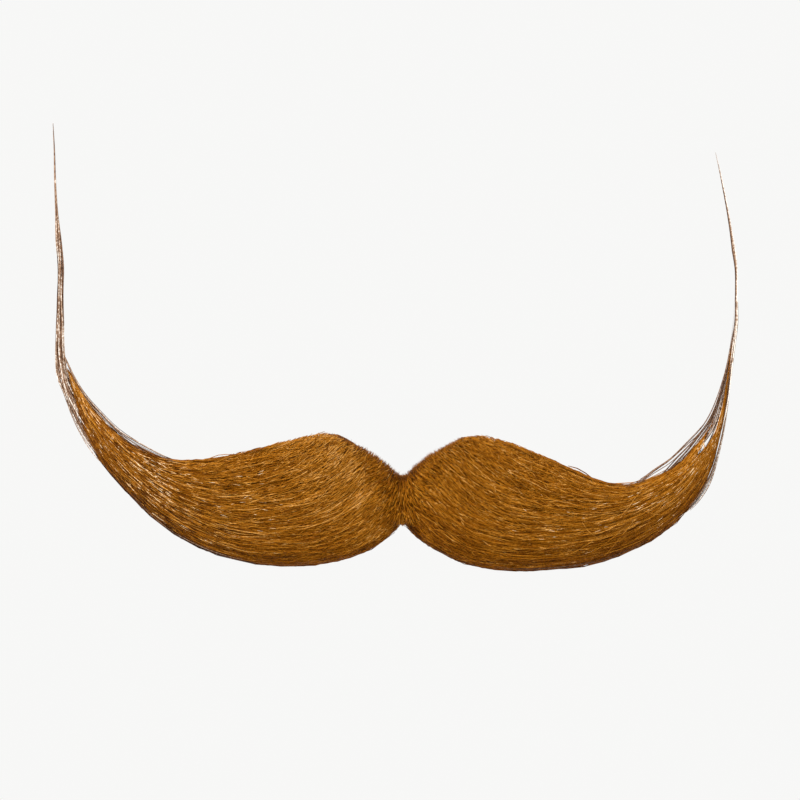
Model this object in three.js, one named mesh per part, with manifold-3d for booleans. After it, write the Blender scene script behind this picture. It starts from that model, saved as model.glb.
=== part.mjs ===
// A long upswept handlebar moustache of synthetic hair on a cloth backing, curved as it is in wear.
// Millimetres, +Z up. Its front faces -Y, and the cloth is behind the hair, towards +Y.
// The origin is on the back of the cloth, behind the middle of the parting.
// Left and right are the viewer's, so the left wing reaches towards -X.
import * as THREE from "three";
import { mergeVertices } from "three/addons/utils/BufferGeometryUtils.js";
import Module from "manifold-3d";

const wasm = await Module();
wasm.setup();

// Reach of each wing, from its side of the parting to its outermost hair.
const LEFT_REACH = 87.5;
const RIGHT_REACH = 84.4;
// Width of the parting where the lowest roots of the two wings come closest.
const PARTING_WIDTH = 1.6;
// Height of each wing, from the top of its shoulder to its lowest hair.
const LEFT_HEIGHT = 34.5;
const RIGHT_HEIGHT = 35;
// Height of each waxed point above the body of its wing, and how far it leans.
const LEFT_POINT_RISE = 60;
const RIGHT_POINT_RISE = 62;
const LEFT_POINT_LEAN = 2;
const RIGHT_POINT_LEAN = 3;
// Thickness of the hair from back to front where it is fullest, and of a point at its foot.
const WING_DEPTH = 12;
const POINT_WIDTH = 2;
// How far back the ends sit, the half span over which the wings curve back that far, and the width
// of the flat stretch at the middle.
const WRAP_DEPTH = 26;
const WRAP_SPAN = 88;
const MIDDLE_FLAT = 10;
// The cloth backing under the hair roots.
const BACKING_WIDTH = 68;
const BACKING_HEIGHT = 19;
const BACKING_WALL = 1;
// The short tuft that fills the parting. The width is that of its top.
const TUFT_WIDTH = 8.5;
const TUFT_HEIGHT = 15;
const TUFT_DEPTH = 4;
// Clearance between pieces that touch on the real thing.
const SEAT_GAP = 0.3;
// Slivers that joins and cuts leave behind are merged up to this size.
const SLIVER = 0.02;

// Sides of the faceted sections, and strips of the surface that trims the backs of the hair.
const CORE_SIDES = 16;
const LOCK_SIDES = 8;
const TRIM_STRIPS = 34;

// A wing's section is widest at this share of its depth, counted from the back, and swells in front of
// and behind that. A lower roundness makes a fuller, flatter face. Over the cloth the back is seated: it
// runs past the cloth and is trimmed flat. Past the end of the cloth it turns free and round.
const WIDEST = 0.4;
const FRONT = { swell: 0.5, roundness: 0.75 };
const SEATED_BACK = { swell: 0.5, roundness: 0.45 };
const FREE_BACK = { swell: 0.3, roundness: 0.75 };
const TURN_LENGTH = 16;

// A lock stands out by this share of its half width, if the wing is deep enough there. Its centre lies
// this far in front of the widest part, or behind it, and it swells from its root and narrows to its end.
const LOCK_STAND = 0.8;
const FRONT_LOCK = { forward: 0.48, deepest: 0.3 };
const BACK_LOCK = { forward: -0.27, deepest: 0.14 };
const LOCK_TAPER = { root: 0.55, swell: 3, tip: 0.26 };

const HAIR = { color: 0x915716, roughness: 0.45, metalness: 0 };
const CLOTH = { color: 0x8a6748, roughness: 0.9, metalness: 0 };

// Sections of a wing from the root outwards. Each names a point on its upper edge, its middle hair and
// its lower edge: out is a share of the reach, up a share of the height. depth is a share of WING_DEPTH.
const LEFT_SECTIONS = [
  { upper: [0.16, 0.466], middle: [0.04, 0.24], lower: [0.0, -0.215], depth: 0.42 },
  { upper: [0.225, 0.475], middle: [0.09, 0.14], lower: [0.04, -0.315], depth: 0.64 },
  { upper: [0.29, 0.437], middle: [0.155, 0.015], lower: [0.1, -0.415], depth: 0.82 },
  { upper: [0.355, 0.393], middle: [0.23, -0.09], lower: [0.175, -0.475], depth: 0.94 },
  { upper: [0.435, 0.34], middle: [0.325, -0.155], lower: [0.27, -0.51], depth: 1.0 },
  { upper: [0.515, 0.296], middle: [0.425, -0.17], lower: [0.375, -0.512], depth: 1.0 },
  { upper: [0.6, 0.272], middle: [0.523, -0.14], lower: [0.485, -0.465], depth: 0.95 },
  { upper: [0.675, 0.28], middle: [0.615, -0.06], lower: [0.59, -0.37], depth: 0.86 },
  { upper: [0.74, 0.348], middle: [0.702, 0.067], lower: [0.693, -0.215], depth: 0.74 },
  { upper: [0.808, 0.473], middle: [0.78, 0.237], lower: [0.783, -0.007], depth: 0.6 },
  { upper: [0.866, 0.628], middle: [0.847, 0.428], lower: [0.864, 0.222], depth: 0.47 },
  { upper: [0.923, 0.8], middle: [0.915, 0.643], lower: [0.935, 0.495], depth: 0.35 },
  { upper: [0.961, 0.96], middle: [0.964, 0.835], lower: [0.981, 0.746], depth: 0.25 },
  { upper: [0.986, 1.125], middle: [0.993, 1.04], lower: [1.0, 0.99], depth: 0.18 },
];
const RIGHT_SECTIONS = [
  { upper: [0.17, 0.436], middle: [0.045, 0.232], lower: [0.0, -0.21], depth: 0.42 },
  { upper: [0.232, 0.452], middle: [0.093, 0.13], lower: [0.04, -0.32], depth: 0.64 },
  { upper: [0.298, 0.408], middle: [0.16, 0.0], lower: [0.097, -0.41], depth: 0.82 },
  { upper: [0.364, 0.35], middle: [0.235, -0.11], lower: [0.172, -0.488], depth: 0.94 },
  { upper: [0.436, 0.277], middle: [0.322, -0.182], lower: [0.268, -0.532], depth: 1.0 },
  { upper: [0.508, 0.197], middle: [0.42, -0.218], lower: [0.376, -0.54], depth: 1.0 },
  { upper: [0.58, 0.124], middle: [0.52, -0.218], lower: [0.484, -0.517], depth: 0.95 },
  { upper: [0.652, 0.087], middle: [0.612, -0.182], lower: [0.586, -0.474], depth: 0.86 },
  { upper: [0.72, 0.11], middle: [0.7, -0.11], lower: [0.688, -0.386], depth: 0.76 },
  { upper: [0.786, 0.19], middle: [0.78, 0.0], lower: [0.777, -0.265], depth: 0.65 },
  { upper: [0.843, 0.318], middle: [0.851, 0.153], lower: [0.856, -0.108], depth: 0.52 },
  { upper: [0.89, 0.466], middle: [0.905, 0.328], lower: [0.917, 0.09], depth: 0.4 },
  { upper: [0.927, 0.648], middle: [0.943, 0.517], lower: [0.953, 0.342], depth: 0.29 },
  { upper: [0.958, 0.867], middle: [0.967, 0.75], lower: [0.978, 0.634], depth: 0.2 },
];

// A waxed point from its foot to its end. up is a share of its rise, and lean a share of its lean.
// A positive lean runs outwards. width is a share of POINT_WIDTH.
const LEFT_POINT = [
  { up: 0.14, lean: 0.0, width: 0.92 },
  { up: 0.26, lean: 0.0, width: 0.85 },
  { up: 0.38, lean: -0.08, width: 0.8 },
  { up: 0.5, lean: 0.24, width: 0.66 },
  { up: 0.62, lean: 0.5, width: 0.48 },
  { up: 0.75, lean: 0.72, width: 0.36 },
  { up: 0.88, lean: 0.82, width: 0.3 },
  { up: 1.0, lean: 1.0, width: 0.24 },
];
const RIGHT_POINT = [
  { up: 0.16, lean: 0.52, width: 0.85 },
  { up: 0.28, lean: 0.83, width: 0.72 },
  { up: 0.4, lean: 0.96, width: 0.62 },
  { up: 0.52, lean: 1.0, width: 0.52 },
  { up: 0.64, lean: 0.71, width: 0.42 },
  { up: 0.76, lean: 0.31, width: 0.34 },
  { up: 0.88, lean: -0.17, width: 0.28 },
  { up: 1.0, lean: -0.7, width: 0.24 },
];

// Locks laid along each wing. across is their place from the upper edge, 0, to the lower, 1. spread is
// a share of the wing's width there. They run from one section to another, counted from the root, and
// those past the last section end in the waxed point. The back ones start past the end of the cloth.
const FRONT_LOCKS = [
  { across: 0.05, spread: 0.085, start: 0, end: 11 },
  { across: 0.17, spread: 0.1, start: 0, end: 15 },
  { across: 0.31, spread: 0.092, start: 0, end: 17 },
  { across: 0.45, spread: 0.1, start: 0, end: 20 },
  { across: 0.6, spread: 0.096, start: 0, end: 18 },
  { across: 0.73, spread: 0.085, start: 0, end: 16 },
  { across: 0.85, spread: 0.09, start: 0, end: 14 },
  { across: 0.955, spread: 0.075, start: 0, end: 12 },
  { across: 0.245, spread: 0.07, start: 3, end: 12 },
  { across: 0.665, spread: 0.07, start: 2, end: 13 },
];
const BACK_LOCKS = [
  { across: 0.12, spread: 0.12, start: 4, end: 13 },
  { across: 0.36, spread: 0.13, start: 4, end: 17 },
  { across: 0.62, spread: 0.13, start: 5, end: 16 },
  { across: 0.87, spread: 0.12, start: 5, end: 13 },
];

// Outline of the tuft from its top down: up is a share of its height from its middle, half a share of
// its width, and stand a share of its depth.
const TUFT_ROWS = [
  { up: 0.52, half: 0.5, stand: 0.5 },
  { up: 0.34, half: 0.42, stand: 0.85 },
  { up: 0.1, half: 0.3, stand: 1.0 },
  { up: -0.15, half: 0.22, stand: 0.95 },
  { up: -0.36, half: 0.17, stand: 0.75 },
  { up: -0.52, half: 0.13, stand: 0.4 },
];
// Its locks lie side by side with an overlap, seated at this share of their thickness in front of the
// cloth, and every second one hangs lower by this share of the tuft's height.
const TUFT_LOCKS = 5;
const TUFT_LOCK = { overlap: 1.1, seat: 0.95, stagger: 0.03 };

// Outline of the backing from its middle to an end: out is a share of its half width, and top and
// bottom are shares of its height.
const BACKING_OUTLINE = [
  { out: 0.0, top: 0.3, bottom: -0.28 },
  { out: 0.14, top: 0.34, bottom: -0.36 },
  { out: 0.3, top: 0.48, bottom: -0.46 },
  { out: 0.45, top: 0.55, bottom: -0.5 },
  { out: 0.62, top: 0.48, bottom: -0.52 },
  { out: 0.78, top: 0.36, bottom: -0.48 },
  { out: 0.9, top: 0.22, bottom: -0.38 },
  { out: 1.0, top: 0.02, bottom: -0.18 },
];

// How far behind its middle the back of the moustache lies at x.
function fallBack(x) {
  const curved = Math.max(0, Math.abs(x) - MIDDLE_FLAT / 2);
  return WRAP_DEPTH * (curved / (WRAP_SPAN - MIDDLE_FLAT / 2)) ** 2;
}

// The hair starts in front of the cloth, clear of it by the seat's gap.
const HAIR_BACK = BACKING_WALL + SEAT_GAP;

// Joins rings of equal point counts into one closed surface with flat ends.
function loft(rings) {
  const sides = rings[0].length;
  const positions = rings.flat().flatMap((p) => [p.x, p.y, p.z]);
  const faces = [];
  for (let r = 0; r + 1 < rings.length; r++) {
    for (let s = 0; s < sides; s++) {
      const a = r * sides + s;
      const b = r * sides + ((s + 1) % sides);
      faces.push(a, b, a + sides, b, b + sides, a + sides);
    }
  }
  const last = (rings.length - 1) * sides;
  for (let s = 1; s + 1 < sides; s++) {
    faces.push(0, s + 1, s);
    faces.push(last, last + s, last + s + 1);
  }
  const geometry = new THREE.BufferGeometry();
  geometry.setAttribute("position", new THREE.Float32BufferAttribute(positions, 3));
  geometry.setIndex(faces);
  return geometry;
}

// Turns a closed geometry into a solid that can be joined and cut, facing outwards.
function solidOf(geometry) {
  const plain = geometry.clone();
  plain.deleteAttribute("normal");
  plain.deleteAttribute("uv");
  const merged = mergeVertices(plain);
  const corners = new Uint32Array(merged.index.array);
  const make = () =>
    new wasm.Manifold(
      new wasm.Mesh({
        numProp: 3,
        vertProperties: new Float32Array(merged.attributes.position.array),
        triVerts: corners,
      }),
    );
  const made = make();
  if (made.volume() > 0) return made;
  for (let i = 0; i < corners.length; i += 3) {
    [corners[i + 1], corners[i + 2]] = [corners[i + 2], corners[i + 1]];
  }
  return make();
}

function geometryOf(solid) {
  const { vertProperties, triVerts } = solid.asOriginal().simplify(SLIVER).getMesh();
  const geometry = new THREE.BufferGeometry();
  geometry.setAttribute("position", new THREE.Float32BufferAttribute(vertProperties, 3));
  geometry.setIndex([...triVerts]);
  return geometry;
}

const join = (solids) => solids.reduce((whole, next) => whole.add(next));

// A box from its lowest to its highest corner, for cutting.
function boxSolid(low, high) {
  const size = new THREE.Vector3().subVectors(high, low);
  const geometry = new THREE.BoxGeometry(size.x, size.y, size.z);
  geometry.translate((low.x + high.x) / 2, (low.y + high.y) / 2, (low.z + high.z) / 2);
  return solidOf(geometry);
}

// The upper, middle and lower hair of a wing at every section and point station, in millimetres.
// Each has its place from the front as x and z, with the thickness of the hair there.
function wingStations(wing) {
  const place = ([out, up]) =>
    new THREE.Vector2(wing.side * (PARTING_WIDTH / 2 + out * wing.reach), up * wing.height);
  const body = wing.sections.map(({ upper, middle, lower, depth }) => ({
    upper: place(upper),
    middle: place(middle),
    lower: place(lower),
    depth: depth * WING_DEPTH,
  }));
  const foot = body[body.length - 1].middle;
  const point = wing.point.map(({ up, lean, width }) => {
    const middle = new THREE.Vector2(
      foot.x + wing.side * lean * wing.pointLean,
      foot.y + up * wing.pointRise,
    );
    const half = (width * POINT_WIDTH) / 2;
    return {
      upper: new THREE.Vector2(middle.x - wing.side * half, middle.y),
      middle,
      lower: new THREE.Vector2(middle.x + wing.side * half, middle.y),
      depth: width * POINT_WIDTH,
    };
  });
  return [...body, ...point];
}

// A hair's place at a section: across runs from 0 on the upper edge to 1 on the lower, and follows the
// curve through the upper, middle and lower hair. forward runs from 0 at the back to 1 at the front.
function hairPlace(station, across, forward) {
  const { upper, middle, lower, depth } = station;
  const x =
    upper.x * (1 - across) * (1 - 2 * across) +
    middle.x * 4 * across * (1 - across) +
    lower.x * across * (2 * across - 1);
  const z =
    upper.y * (1 - across) * (1 - 2 * across) +
    middle.y * 4 * across * (1 - across) +
    lower.y * across * (2 * across - 1);
  return new THREE.Vector3(x, fallBack(x) - HAIR_BACK - forward * depth, z);
}

// The inner mass of a wing.
function wingCore(stations) {
  const rings = stations.map((station) => {
    const past = (Math.abs(station.middle.x) - BACKING_WIDTH / 2) / TURN_LENGTH;
    const free = THREE.MathUtils.smoothstep(past, 0, 1);
    const back = {
      swell: THREE.MathUtils.lerp(SEATED_BACK.swell, FREE_BACK.swell, free),
      roundness: THREE.MathUtils.lerp(SEATED_BACK.roundness, FREE_BACK.roundness, free),
    };
    return Array.from({ length: CORE_SIDES }, (_, s) => {
      const turn = (2 * Math.PI * (s + 0.5)) / CORE_SIDES;
      const rise = Math.sin(turn);
      const face = rise > 0 ? FRONT : back;
      const forward = WIDEST + Math.sign(rise) * face.swell * Math.abs(rise) ** face.roundness;
      return hairPlace(station, (1 - Math.cos(turn)) / 2, forward);
    });
  });
  return solidOf(loft(rings));
}

// One tapered lock that lies along a wing, on its front or on its back.
function wingLock(stations, { across, spread, start, end }, { forward, deepest }) {
  const turn = Math.acos(1 - 2 * across);
  const used = stations.slice(start, end + 1);
  const rings = used.map((station, n) => {
    const along = n / (used.length - 1);
    const swelling = Math.min(1, LOCK_TAPER.root + LOCK_TAPER.swell * along);
    const narrowing = Math.sqrt(1 - (1 - LOCK_TAPER.tip ** 2) * along ** 3);
    const half = spread * station.upper.distanceTo(station.lower) * swelling * narrowing;
    const stand = Math.min(LOCK_STAND * half, deepest * station.depth);
    const centre = hairPlace(station, across, WIDEST + forward * Math.sin(turn) ** FRONT.roundness);
    const edge = new THREE.Vector2().subVectors(station.lower, station.upper).normalize();
    return Array.from({ length: LOCK_SIDES }, (_, s) => {
      const around = (2 * Math.PI * (s + 0.5)) / LOCK_SIDES;
      const sideways = half * Math.cos(around);
      const x = centre.x + edge.x * sideways;
      const y = centre.y + fallBack(x) - fallBack(centre.x) - stand * Math.sin(around);
      return new THREE.Vector3(x, y, centre.z + edge.y * sideways);
    });
  });
  return solidOf(loft(rings));
}

// An upright slice at x. Its back and front are measured forwards from the back of the cloth.
function uprightSlice(x, { top, bottom, back, front }) {
  const y = fallBack(x);
  return [
    new THREE.Vector3(x, y - back, bottom),
    new THREE.Vector3(x, y - front, bottom),
    new THREE.Vector3(x, y - front, top),
    new THREE.Vector3(x, y - back, top),
  ];
}

function backingSolid() {
  const mirrored = BACKING_OUTLINE.slice(1).reverse().map((row) => ({ ...row, out: -row.out }));
  const slices = [...mirrored, ...BACKING_OUTLINE].map(({ out, top, bottom }) =>
    uprightSlice((out * BACKING_WIDTH) / 2, {
      top: top * BACKING_HEIGHT,
      bottom: bottom * BACKING_HEIGHT,
      back: 0,
      front: BACKING_WALL,
    }),
  );
  return solidOf(loft(slices));
}

// Everything from the hair's back surface backwards. What it trims keeps the seat's gap to the cloth.
function behindTheHair() {
  const reach = Math.max(LEFT_REACH, RIGHT_REACH) + WING_DEPTH;
  const high = Math.max(LEFT_HEIGHT, RIGHT_HEIGHT) + Math.max(LEFT_POINT_RISE, RIGHT_POINT_RISE);
  const span = { top: high, bottom: -high, back: -WING_DEPTH, front: HAIR_BACK };
  const slices = Array.from({ length: TRIM_STRIPS + 1 }, (_, n) =>
    uprightSlice(reach * ((2 * n) / TRIM_STRIPS - 1), span),
  );
  return solidOf(loft(slices));
}

// The space that the tuft and the parting take between the wings, right through from front to back.
function partingRoom() {
  const room = LEFT_HEIGHT + RIGHT_HEIGHT + WING_DEPTH;
  const ring = (z, half) => [
    new THREE.Vector3(-half, -room, z),
    new THREE.Vector3(half, -room, z),
    new THREE.Vector3(half, room, z),
    new THREE.Vector3(-half, room, z),
  ];
  const slit = boxSolid(
    new THREE.Vector3(-SEAT_GAP / 2, -room, -room),
    new THREE.Vector3(SEAT_GAP / 2, room, room),
  );
  const clear = TUFT_ROWS.map(({ up, half }, n) => {
    const past = n === 0 ? SEAT_GAP : n === TUFT_ROWS.length - 1 ? -SEAT_GAP : 0;
    return ring(up * TUFT_HEIGHT + past, half * TUFT_WIDTH + SEAT_GAP);
  });
  return solidOf(loft(clear)).add(slit);
}

function wingSolid(wing) {
  const stations = wingStations(wing);
  const front = FRONT_LOCKS.map((lock) => wingLock(stations, lock, FRONT_LOCK));
  const back = BACK_LOCKS.map((lock) => wingLock(stations, lock, BACK_LOCK));
  return join([wingCore(stations), ...front, ...back]).subtract(partingRoom());
}

// Short locks that hang down in the parting, side by side, fanned at the top.
function tuftSolid() {
  const locks = Array.from({ length: TUFT_LOCKS }, (_, n) => {
    const place = (2 * n) / (TUFT_LOCKS - 1) - 1;
    const rings = TUFT_ROWS.map(({ up, half, stand }) => {
      const lockHalf = (TUFT_LOCK.overlap * half * TUFT_WIDTH) / TUFT_LOCKS;
      const centre = place * (half * TUFT_WIDTH - lockHalf);
      const thick = (stand * TUFT_DEPTH) / 2;
      const z = (up - TUFT_LOCK.stagger * (n % 2)) * TUFT_HEIGHT;
      return Array.from({ length: LOCK_SIDES }, (_, s) => {
        const around = (2 * Math.PI * (s + 0.5)) / LOCK_SIDES;
        const x = centre + lockHalf * Math.cos(around);
        const forward = thick * (TUFT_LOCK.seat + Math.sin(around));
        return new THREE.Vector3(x, fallBack(x) - HAIR_BACK - forward, z);
      });
    });
    return solidOf(loft(rings));
  });
  return join(locks);
}

function piece(name, solid, finish) {
  const mesh = new THREE.Mesh(geometryOf(solid), new THREE.MeshStandardMaterial(finish));
  mesh.name = name;
  return mesh;
}

const WINGS = {
  left_wing: {
    side: -1,
    reach: LEFT_REACH,
    height: LEFT_HEIGHT,
    pointRise: LEFT_POINT_RISE,
    pointLean: LEFT_POINT_LEAN,
    sections: LEFT_SECTIONS,
    point: LEFT_POINT,
  },
  right_wing: {
    side: 1,
    reach: RIGHT_REACH,
    height: RIGHT_HEIGHT,
    pointRise: RIGHT_POINT_RISE,
    pointLean: RIGHT_POINT_LEAN,
    sections: RIGHT_SECTIONS,
    point: RIGHT_POINT,
  },
};

const moustache = new THREE.Group();
const behind = behindTheHair();
moustache.add(piece("backing", backingSolid(), CLOTH));
for (const [name, wing] of Object.entries(WINGS)) {
  moustache.add(piece(name, wingSolid(wing).subtract(behind), HAIR));
}
moustache.add(piece("centre_tuft", tuftSolid().subtract(behind), HAIR));

export default moustache;
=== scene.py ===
"""A long upswept handlebar moustache of ginger synthetic hair, held as it is in wear.

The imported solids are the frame. This script lays the hair over them strand by strand, makes the woven
backing, and adds materials, light and a camera. Lengths are in millimetres until a mesh is written.
Left and right are the viewer's. The front faces -Y, and +Z is up.
"""

import math

import bmesh
import bpy
import numpy as np
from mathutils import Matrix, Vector


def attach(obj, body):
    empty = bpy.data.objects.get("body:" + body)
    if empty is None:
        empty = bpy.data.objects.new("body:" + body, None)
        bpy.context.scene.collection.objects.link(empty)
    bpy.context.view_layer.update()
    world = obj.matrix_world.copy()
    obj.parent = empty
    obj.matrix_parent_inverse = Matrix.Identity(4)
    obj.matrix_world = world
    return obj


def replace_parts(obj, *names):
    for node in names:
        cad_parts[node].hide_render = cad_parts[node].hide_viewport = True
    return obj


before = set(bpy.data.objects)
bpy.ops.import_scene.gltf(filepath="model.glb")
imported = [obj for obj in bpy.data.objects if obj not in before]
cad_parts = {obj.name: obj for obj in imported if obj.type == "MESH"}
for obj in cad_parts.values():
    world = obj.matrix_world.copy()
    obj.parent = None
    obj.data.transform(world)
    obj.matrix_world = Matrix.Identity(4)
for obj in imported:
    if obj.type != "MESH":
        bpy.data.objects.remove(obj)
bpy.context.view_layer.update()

MM = 0.001

# The driving sizes of the solids.
PARTING_WIDTH = 1.6
WRAP_DEPTH = 26
WRAP_SPAN = 88
MIDDLE_FLAT = 10
WING_DEPTH = 12
POINT_WIDTH = 2
BACKING_WIDTH = 68
BACKING_HEIGHT = 19
BACKING_WALL = 1
SEAT_GAP = 0.3
HAIR_BACK = BACKING_WALL + SEAT_GAP
TUFT_WIDTH = 8.5
TUFT_HEIGHT = 15
TUFT_DEPTH = 4

# Sections of a wing from the root outwards, then the stations of its waxed point. A section holds out
# and up of the upper, the middle and the lower hair, as shares of reach and height, and how deep it is,
# as a share of WING_DEPTH. A station holds shares of the wing's rise and lean and of POINT_WIDTH.
LEFT_WING = {
    "side": -1,
    "reach": 87.5,
    "height": 34.5,
    "rise": 60,
    "lean": 2,
    "sections": [
        (0.16, 0.466, 0.04, 0.24, 0.0, -0.215, 0.42),
        (0.225, 0.475, 0.09, 0.14, 0.04, -0.315, 0.64),
        (0.29, 0.437, 0.155, 0.015, 0.1, -0.415, 0.82),
        (0.355, 0.393, 0.23, -0.09, 0.175, -0.475, 0.94),
        (0.435, 0.34, 0.325, -0.155, 0.27, -0.51, 1.0),
        (0.515, 0.296, 0.425, -0.17, 0.375, -0.512, 1.0),
        (0.6, 0.272, 0.523, -0.14, 0.485, -0.465, 0.95),
        (0.675, 0.28, 0.615, -0.06, 0.59, -0.37, 0.86),
        (0.74, 0.348, 0.702, 0.067, 0.693, -0.215, 0.74),
        (0.808, 0.473, 0.78, 0.237, 0.783, -0.007, 0.6),
        (0.866, 0.628, 0.847, 0.428, 0.864, 0.222, 0.47),
        (0.923, 0.8, 0.915, 0.643, 0.935, 0.495, 0.35),
        (0.961, 0.96, 0.964, 0.835, 0.981, 0.746, 0.25),
        (0.986, 1.125, 0.993, 1.04, 1.0, 0.99, 0.18),
    ],
    "point": [
        (0.14, 0.0, 0.92),
        (0.26, 0.0, 0.85),
        (0.38, -0.08, 0.8),
        (0.5, 0.24, 0.66),
        (0.62, 0.5, 0.48),
        (0.75, 0.72, 0.36),
        (0.88, 0.82, 0.3),
        (1.0, 1.0, 0.24),
    ],
}
RIGHT_WING = {
    "side": 1,
    "reach": 84.4,
    "height": 35,
    "rise": 62,
    "lean": 3,
    "sections": [
        (0.17, 0.436, 0.045, 0.232, 0.0, -0.21, 0.42),
        (0.232, 0.452, 0.093, 0.13, 0.04, -0.32, 0.64),
        (0.298, 0.408, 0.16, 0.0, 0.097, -0.41, 0.82),
        (0.364, 0.35, 0.235, -0.11, 0.172, -0.488, 0.94),
        (0.436, 0.277, 0.322, -0.182, 0.268, -0.532, 1.0),
        (0.508, 0.197, 0.42, -0.218, 0.376, -0.54, 1.0),
        (0.58, 0.124, 0.52, -0.218, 0.484, -0.517, 0.95),
        (0.652, 0.087, 0.612, -0.182, 0.586, -0.474, 0.86),
        (0.72, 0.11, 0.7, -0.11, 0.688, -0.386, 0.76),
        (0.786, 0.19, 0.78, 0.0, 0.777, -0.265, 0.65),
        (0.843, 0.318, 0.851, 0.153, 0.856, -0.108, 0.52),
        (0.89, 0.466, 0.905, 0.328, 0.917, 0.09, 0.4),
        (0.927, 0.648, 0.943, 0.517, 0.953, 0.342, 0.29),
        (0.958, 0.867, 0.967, 0.75, 0.978, 0.634, 0.2),
    ],
    "point": [
        (0.16, 0.52, 0.85),
        (0.28, 0.83, 0.72),
        (0.4, 0.96, 0.62),
        (0.52, 1.0, 0.52),
        (0.64, 0.71, 0.42),
        (0.76, 0.31, 0.34),
        (0.88, -0.17, 0.28),
        (1.0, -0.7, 0.24),
    ],
}
WINGS = {"left": LEFT_WING, "right": RIGHT_WING}
LAST_STATION = len(LEFT_WING["sections"]) + len(LEFT_WING["point"]) - 1

# The solids' section: widest at this share of the depth, with a front and a back that swell from it.
WIDEST = 0.4
FRONT_SWELL = 0.5
FRONT_ROUNDNESS = 0.75
SEATED_BACK = {"swell": 0.5, "roundness": 0.45}
FREE_BACK = {"swell": 0.3, "roundness": 0.75}
TURN_LENGTH = 16
# How far the outer hair stands off that front, how much farther on top of a lock, and how near the
# cloth the hindmost hair may lie, as shares of the depth.
HAIR_STAND = 0.06
LOCK_STAND = 0.06
LEAST_BACK = 0.03

# Middles of the locks across a wing, from its upper edge, 0, to its lower, 1, and their half width.
LOCKS = (0.05, 0.17, 0.31, 0.45, 0.6, 0.73, 0.85, 0.955)
LOCK_HALF = 0.075

# The parting tuft from its top down: up, half width and stand are shares of its height, width, depth.
TUFT_ROWS = [
    (0.52, 0.5, 0.5),
    (0.34, 0.42, 0.85),
    (0.1, 0.3, 1.0),
    (-0.15, 0.22, 0.95),
    (-0.36, 0.17, 0.75),
    (-0.52, 0.13, 0.4),
]

# The backing from its middle to an end: out is a share of its half width, top and bottom of its height.
BACKING_OUTLINE = [
    (0.0, 0.3, -0.28),
    (0.14, 0.34, -0.36),
    (0.3, 0.48, -0.46),
    (0.45, 0.55, -0.5),
    (0.62, 0.48, -0.52),
    (0.78, 0.36, -0.48),
    (0.9, 0.22, -0.38),
    (1.0, 0.02, -0.18),
]


def smoothstep(value, low=0.0, high=1.0):
    """Rises smoothly from 0 at low to 1 at high."""
    share = np.clip((np.asarray(value, float) - low) / (high - low), 0, 1)
    return share * share * (3 - 2 * share)


def smooth_rows(table, places):
    """A table's values at fractional row numbers, on a smooth curve through its rows."""
    table = np.asarray(table, float)
    row = np.clip(np.floor(places).astype(int), 0, len(table) - 2)
    t = (np.asarray(places) - row)[..., None]
    a, b = table[row], table[row + 1]
    before = np.where((row == 0)[..., None], 2 * a - b, table[np.maximum(row - 1, 0)])
    last = (row == len(table) - 2)[..., None]
    after = np.where(last, 2 * b - a, table[np.minimum(row + 2, len(table) - 1)])
    bend = (2 * before - 5 * a + 4 * b - after) * t + (3 * a - before - 3 * b + after) * t * t
    return a + 0.5 * t * ((b - before) + bend)


def fall_back(x):
    """How far behind its middle the back of the moustache lies at x."""
    curved = np.maximum(0, np.abs(x) - MIDDLE_FLAT / 2)
    return WRAP_DEPTH * (curved / (WRAP_SPAN - MIDDLE_FLAT / 2)) ** 2


def wing_table(wing):
    """Rows of x and z for the upper, middle and lower hair, with the depth, at every station."""
    side, reach, height = wing["side"], wing["reach"], wing["height"]
    sections = np.array(wing["sections"])
    rows = np.empty_like(sections)
    rows[:, 0:6:2] = side * (PARTING_WIDTH / 2 + sections[:, 0:6:2] * reach)
    rows[:, 1:6:2] = sections[:, 1:6:2] * height
    rows[:, 6] = sections[:, 6] * WING_DEPTH
    foot_x, foot_z = rows[-1, 2], rows[-1, 3]
    point = []
    for rise, lean, width in wing["point"]:
        x = foot_x + side * lean * wing["lean"]
        z = foot_z + rise * wing["rise"]
        half = width * POINT_WIDTH / 2
        point.append((x - side * half, z, x, z, x + side * half, z, 2 * half))
    return np.vstack([rows, point])


TABLES = {name: wing_table(wing) for name, wing in WINGS.items()}


def hair_place(table, station, across, forward):
    """Points of the hair in a wing. Past either edge, across goes straight on."""
    rows = smooth_rows(table, station)
    upper, middle, lower = rows[..., 0:2], rows[..., 2:4], rows[..., 4:6]
    inside = np.clip(across, 0, 1)[..., None]
    past = np.asarray(across)[..., None] - inside
    flat = (
        upper * (1 - inside) * (1 - 2 * inside)
        + middle * 4 * inside * (1 - inside)
        + lower * inside * (2 * inside - 1)
        + (lower - upper) * past
    )
    x, z = flat[..., 0], flat[..., 1]
    return np.stack([x, fall_back(x) - HAIR_BACK - forward * rows[..., 6], z], -1)


def flow_lengths(table):
    """How far along the middle hair each station lies."""
    stations = np.arange(len(table))
    middle = hair_place(table, stations, np.full(len(table), 0.5), np.full(len(table), WIDEST))
    return np.concatenate([[0], np.cumsum(np.linalg.norm(np.diff(middle, axis=0), axis=1))])


FLOW = {name: flow_lengths(table) for name, table in TABLES.items()}


def station_at(wing, length):
    """The station that lies this far along a wing. Before the root, stations go straight on."""
    flow = FLOW[wing]
    return np.interp(length, flow, np.arange(len(flow))) + np.minimum(length, 0) / flow[1]


def roundness_at(across):
    """From 0 at both edges of a wing to 1 in its middle, as a half circle rises."""
    inside = np.clip(across, 0, 1)
    return np.sqrt(np.maximum(0, 1 - (1 - 2 * inside) ** 2))


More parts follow.
